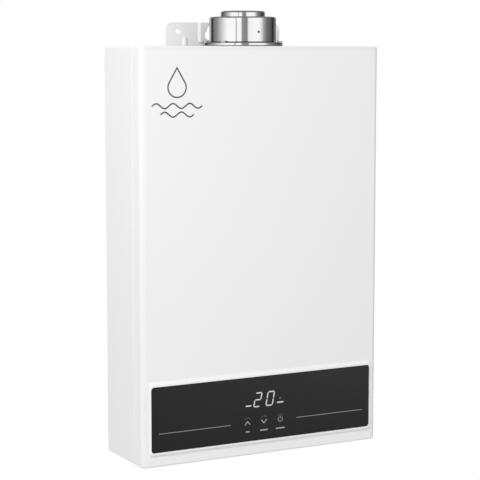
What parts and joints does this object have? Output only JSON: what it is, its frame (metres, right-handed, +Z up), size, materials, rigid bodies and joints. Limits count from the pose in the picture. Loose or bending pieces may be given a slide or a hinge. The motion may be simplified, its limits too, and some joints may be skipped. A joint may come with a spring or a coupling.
{
  "type": "tankless gas water heater",
  "caption": "Wall-hung tankless gas water heater: flat white sheet casing with a black touch panel, coaxial flue stub on top, slotted wall bracket and threaded gas and water connections below.",
  "frame": {"origin": "on the wall plane, midway between the two slotted wall screw holes of the bracket", "axes": "+X to the right as seen from the front, +Y into the wall, +Z up"},
  "size_m": [0.36, 0.119, 0.6177],
  "materials": {
    "white_paint": "smooth white powder coat",
    "panel_glass": "black gloss panel",
    "stainless": "bright stainless sheet",
    "zinc_screw": "bright zinc plate",
    "galvanized": "galvanized sheet",
    "steel": "plain steel",
    "copper": "bare copper",
    "brass": "turned brass",
    "cast_aluminium": "cast aluminium",
    "rubber": "black rubber",
    "fibre_gasket": "dark fibre seal",
    "ceramic": "white ceramic",
    "black_plastic": "black plastic",
    "white_plastic": "light plastic",
    "circuit_board": "green circuit board",
    "lead_sleeve": "red silicone sleeve"
  },
  "bodies": {
    "casing": {"casing_back": "white_paint", "casing_left": "white_paint", "casing_right": "white_paint", "casing_top": "white_paint", "casing_bottom": "white_paint", "casing_screws": "zinc_screw", "wall_bracket": "white_paint", "wall_bumpers": "rubber", "flue_gasket": "fibre_gasket", "flue_collar": "stainless", "flue_flange": "stainless", "flue_screws": "zinc_screw", "flue_spigot": "stainless", "fan_housing": "galvanized", "fan_front_plate": "galvanized", "motor_can": "galvanized", "motor_bearings": "brass", "smoke_hood": "galvanized", "exchanger_shell": "copper", "exchanger_fins": "copper", "exchanger_tube": "copper", "rear_rail": "galvanized", "burner_box": "galvanized", "burner_bars": "steel", "gas_manifold": "galvanized", "gas_nozzles": "brass", "electrode_insulators": "ceramic", "electrode_rods": "steel", "igniter": "black_plastic", "ignition_lead": "lead_sleeve", "temperature_sensors": "black_plastic", "gas_inlet_nipple": "brass", "water_inlet_nipple": "brass", "connection_nuts": "brass", "inlet_filter": "white_plastic", "flow_sensor_body": "black_plastic", "cold_pipe": "copper", "hot_pipe": "copper", "gas_valve_body": "cast_aluminium", "solenoid_coils": "black_plastic", "gas_pipe": "steel", "outlet_block": "brass", "control_box": "white_plastic", "control_box_lid": "white_plastic", "main_board": "circuit_board", "cable_gland": "rubber"},
    "cover": {"front_cover": "white_paint", "cover_seal": "rubber", "control_panel": "panel_glass", "display_carrier": "white_plastic", "display_board": "circuit_board", "display_screws": "zinc_screw", "digit_module": "black_plastic", "touch_springs": "steel"},
    "fan": {"motor_shaft": "steel", "fan_impeller": "steel"},
    "turbine": {"flow_rotor": "white_plastic"},
    "plunger": {"valve_plunger": "steel"},
    "drain_ring": {"drain_seal": "rubber"},
    "drain": {"drain_plug": "black_plastic"}
  },
  "joints": [
    {"name": "cover_slide", "type": "slide", "parent": "casing", "child": "cover", "axis": [0, -1, 0], "range_m": [0, 0.16]},
    {"name": "fan_spin", "type": "hinge", "parent": "casing", "child": "fan", "pos_m": [-0.0335, -0.057, -0.1103], "axis": [0, -1, 0], "continuous": true},
    {"name": "flow_rotor_spin", "type": "hinge", "parent": "casing", "child": "turbine", "pos_m": [0.095, -0.032, -0.5103], "axis": [0, 0, 1], "continuous": true},
    {"name": "valve_plunger_slide", "type": "slide", "parent": "casing", "child": "plunger", "axis": [1, 0, 0], "range_m": [0, 0.003], "stiffness_N_per_m": 300, "springref_m": -0.005},
    {"name": "drain_lift", "type": "slide", "parent": "casing", "child": "drain_ring", "axis": [0, 0, -1], "range_m": [0, 0.0061]},
    {"name": "drain_turn", "type": "hinge", "parent": "drain_ring", "child": "drain", "pos_m": [-0.068, -0.032, -0.5703], "axis": [0, 0, -1], "range_deg": [0, 1440]}
  ],
  "couplings": [
    {"joint": "drain_lift", "follows": "drain_turn", "m_per_rad": 0.00023873}
  ]
}
